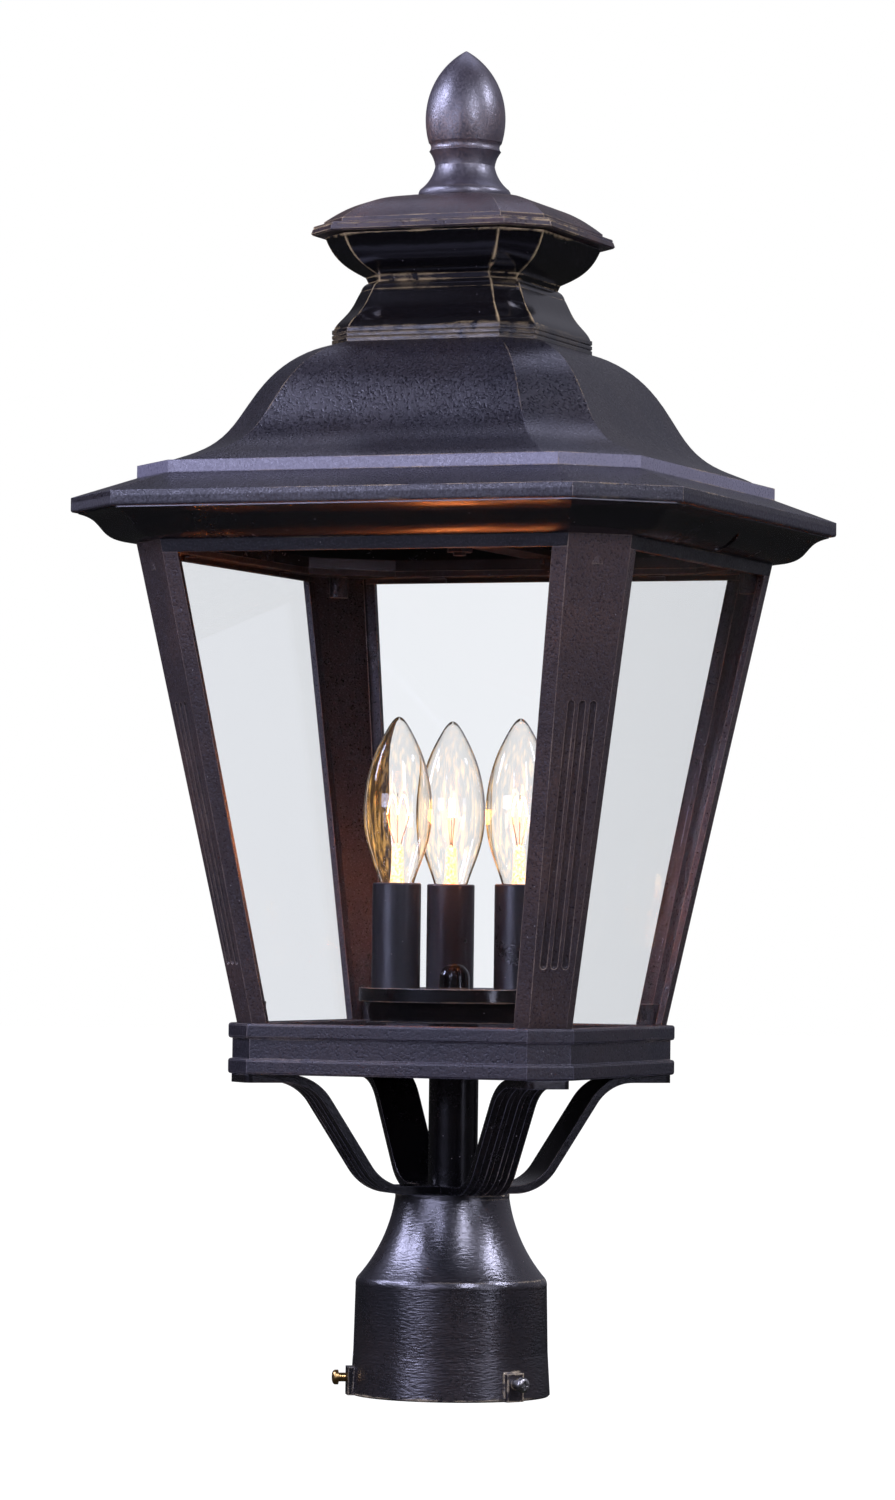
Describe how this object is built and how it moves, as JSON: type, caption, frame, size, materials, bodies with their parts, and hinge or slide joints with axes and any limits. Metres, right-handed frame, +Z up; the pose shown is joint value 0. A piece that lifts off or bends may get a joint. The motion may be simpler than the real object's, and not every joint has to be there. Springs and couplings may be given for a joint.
{
  "type": "post top lantern",
  "caption": "Four-sided glazed post top lantern with a cut-corner ogee roof, turned finial, candle cluster, scroll arms and a round fitter cup for a post.",
  "frame": {"origin": "centre of the fitter's bottom rim", "axes": "+Z up along the post; -Y is the front, and the front and the other three glazed faces look along X and Y"},
  "size_m": [0.2936, 0.2936, 0.62],
  "materials": {
    "dark_bronze_paint": "semi-gloss, fine grain",
    "brown_bronze_paint": "semi-gloss, fine grain",
    "zinc_steel": "zinc plated",
    "brass": "satin",
    "pane_glass": "clear",
    "bulb_glass": "clear, thin",
    "sleeve_black": "satin",
    "holder_phenolic": "moulded",
    "filament_glow": "lit filament"
  },
  "bodies": {
    "lantern": {"fitter": "dark_bronze_paint", "stem_pipe": "dark_bronze_paint", "scroll_arm_1": "dark_bronze_paint", "scroll_arm_2": "dark_bronze_paint", "scroll_arm_3": "dark_bronze_paint", "scroll_arm_4": "dark_bronze_paint", "base_pan": "dark_bronze_paint", "corner_post_1": "dark_bronze_paint", "corner_post_2": "dark_bronze_paint", "corner_post_3": "dark_bronze_paint", "corner_post_4": "dark_bronze_paint", "top_rail": "dark_bronze_paint", "cornice": "dark_bronze_paint", "candle_pan": "dark_bronze_paint", "pan_cover": "dark_bronze_paint", "cap_nut": "dark_bronze_paint", "bridge_bar": "dark_bronze_paint", "fitter_lock_nut": "zinc_steel", "base_lock_nut": "zinc_steel", "arm_foot_screws": "zinc_steel", "arm_pad_screws": "zinc_steel", "post_foot_screws": "zinc_steel", "rail_screws": "zinc_steel", "cornice_screws": "zinc_steel", "bar_screws": "zinc_steel", "roof_rod": "zinc_steel", "rod_nuts": "zinc_steel", "stem_cap": "zinc_steel", "cluster_nipple": "zinc_steel", "glass_clips": "zinc_steel", "glass_pane_1": "pane_glass", "glass_pane_2": "pane_glass", "glass_pane_3": "pane_glass", "glass_pane_4": "pane_glass", "candle_sleeve_1": "sleeve_black", "lamp_holder_1": "holder_phenolic", "candle_sleeve_2": "sleeve_black", "lamp_holder_2": "holder_phenolic", "candle_sleeve_3": "sleeve_black", "lamp_holder_3": "holder_phenolic"},
    "roof_cap": {"roof": "dark_bronze_paint", "crown_neck": "dark_bronze_paint", "crown_bowl": "dark_bronze_paint", "crown_lid": "dark_bronze_paint"},
    "finial_nut": {"finial": "brown_bronze_paint"},
    "set_screw_body_1": {"set_screw_1": "zinc_steel"},
    "bulb_1": {"bulb_base_1": "brass", "bulb_glass_1": "bulb_glass", "bulb_filament_1": "filament_glow"},
    "set_screw_body_2": {"set_screw_2": "brass"},
    "bulb_2": {"bulb_base_2": "brass", "bulb_glass_2": "bulb_glass", "bulb_filament_2": "filament_glow"},
    "set_screw_body_3": {"set_screw_3": "zinc_steel"},
    "bulb_3": {"bulb_base_3": "brass", "bulb_glass_3": "bulb_glass", "bulb_filament_3": "filament_glow"}
  },
  "joints": [
    {"name": "roof_lift", "type": "slide", "parent": "lantern", "child": "roof_cap", "axis": [0, 0, 1], "range_m": [0, 0.195]},
    {"name": "finial_unscrew", "type": "slide", "parent": "roof_cap", "child": "finial_nut", "axis": [0, 0, 1], "range_m": [0, 0.045]},
    {"name": "set_screw_travel_1", "type": "slide", "parent": "lantern", "child": "set_screw_body_1", "axis": [0, 1, 0], "range_m": [-0.0038, 0.01]},
    {"name": "set_screw_travel_2", "type": "slide", "parent": "lantern", "child": "set_screw_body_2", "axis": [-0.866, -0.5, 0], "range_m": [-0.0038, 0.01]},
    {"name": "set_screw_travel_3", "type": "slide", "parent": "lantern", "child": "set_screw_body_3", "axis": [0.866, -0.5, 0], "range_m": [-0.0038, 0.01]},
    {"name": "bulb_unscrew_1", "type": "slide", "parent": "lantern", "child": "bulb_1", "axis": [0, 0, 1], "range_m": [0, 0.06]},
    {"name": "bulb_unscrew_2", "type": "slide", "parent": "lantern", "child": "bulb_2", "axis": [0, 0, 1], "range_m": [0, 0.06]},
    {"name": "bulb_unscrew_3", "type": "slide", "parent": "lantern", "child": "bulb_3", "axis": [0, 0, 1], "range_m": [0, 0.06]}
  ]
}
